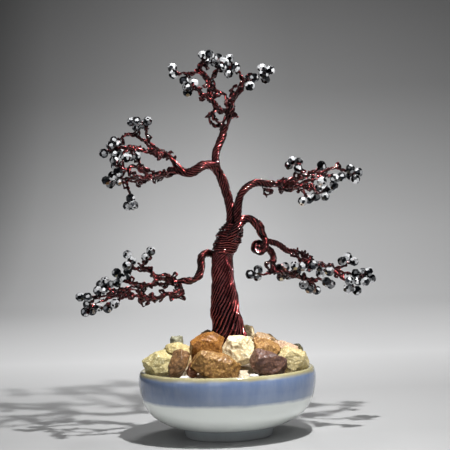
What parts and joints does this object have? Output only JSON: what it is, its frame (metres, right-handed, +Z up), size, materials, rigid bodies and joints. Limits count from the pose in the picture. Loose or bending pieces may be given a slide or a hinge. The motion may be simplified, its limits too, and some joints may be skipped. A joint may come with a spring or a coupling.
{
  "type": "wire tree sculpture",
  "caption": "Wire-and-bead tree: twisted burgundy copper wires fork from a thick trunk into limbs tipped with faceted beads, set among stones in a glazed footed bowl.",
  "frame": {"origin": "centre of the bowl's foot ring, on the surface it stands on", "axes": "+Z up along the bowl's axis, -Y towards the viewer of the front, +X to the viewer's right"},
  "size_m": [0.1449, 0.085, 0.1858],
  "materials": {
    "glaze": "glossy white glaze with a blue band and an olive-tan rim",
    "plaster": "matt, sandy",
    "white_gravel": "rough white chips",
    "wire": "copper under dark burgundy enamel, glossy",
    "inner_wire": "copper under dark burgundy enamel, glossy",
    "bead": "faceted, opaque hematite-coloured metallic coating",
    "stone_amber": "rough broken quartz, orange-brown",
    "stone_dark_amber": "rough, dark amber-brown",
    "stone_purple_brown": "smooth, purple-brown",
    "stone_cream": "rough, cream with tan veins",
    "stone_pale_yellow": "rough, pale yellow",
    "stone_pinkish": "rough, pale pinkish tan",
    "stone_grey_green": "smooth, slightly translucent grey-green"
  },
  "bodies": {
    "root": {"bowl": "glaze", "plaster_filling": "plaster", "white_gravel": "white_gravel", "trunk_core": "inner_wire", "trunk_wires": "wire", "collar_wires": "wire", "stem_core": "inner_wire", "apex_core": "inner_wire", "apex_wires": "wire", "apex_partner_wires": "wire", "apex_bead_wires": "wire", "apex_wire_loops": "wire", "apex_beads": "bead", "left_core": "inner_wire", "left_wires": "wire", "left_partner_wires": "wire", "left_bead_wires": "wire", "left_wire_loops": "wire", "left_beads": "bead", "right_core": "inner_wire", "right_wires": "wire", "right_partner_wires": "wire", "right_bead_wires": "wire", "right_wire_loops": "wire", "right_beads": "bead", "lower_right_core": "inner_wire", "lower_right_wires": "wire", "lower_right_partner_wires": "wire", "lower_right_bead_wires": "wire", "lower_right_wire_loops": "wire", "lower_right_beads": "bead", "lower_left_core": "inner_wire", "lower_left_wires": "wire", "lower_left_partner_wires": "wire", "lower_left_bead_wires": "wire", "lower_left_wire_loops": "wire", "lower_left_beads": "bead", "stone_amber_front": "stone_amber", "stone_purple_brown": "stone_purple_brown", "stone_cream_left": "stone_cream", "stone_cream_right": "stone_cream", "stone_brown_upright": "stone_dark_amber", "stone_white_centre": "stone_cream", "stone_amber_top": "stone_amber", "stone_orange_right": "stone_amber", "stone_pale_yellow": "stone_pale_yellow", "stone_pinkish": "stone_pinkish", "stone_beige_back": "stone_cream", "stone_tan_back": "stone_amber", "stone_dark_behind": "stone_dark_amber", "stone_back_left": "stone_pale_yellow", "stone_back_middle": "stone_amber", "stone_back_right": "stone_pinkish", "stone_grey_pebble": "stone_grey_green", "stone_olive": "stone_grey_green", "stone_red_chip": "stone_dark_amber"}
  },
  "joints": []
}
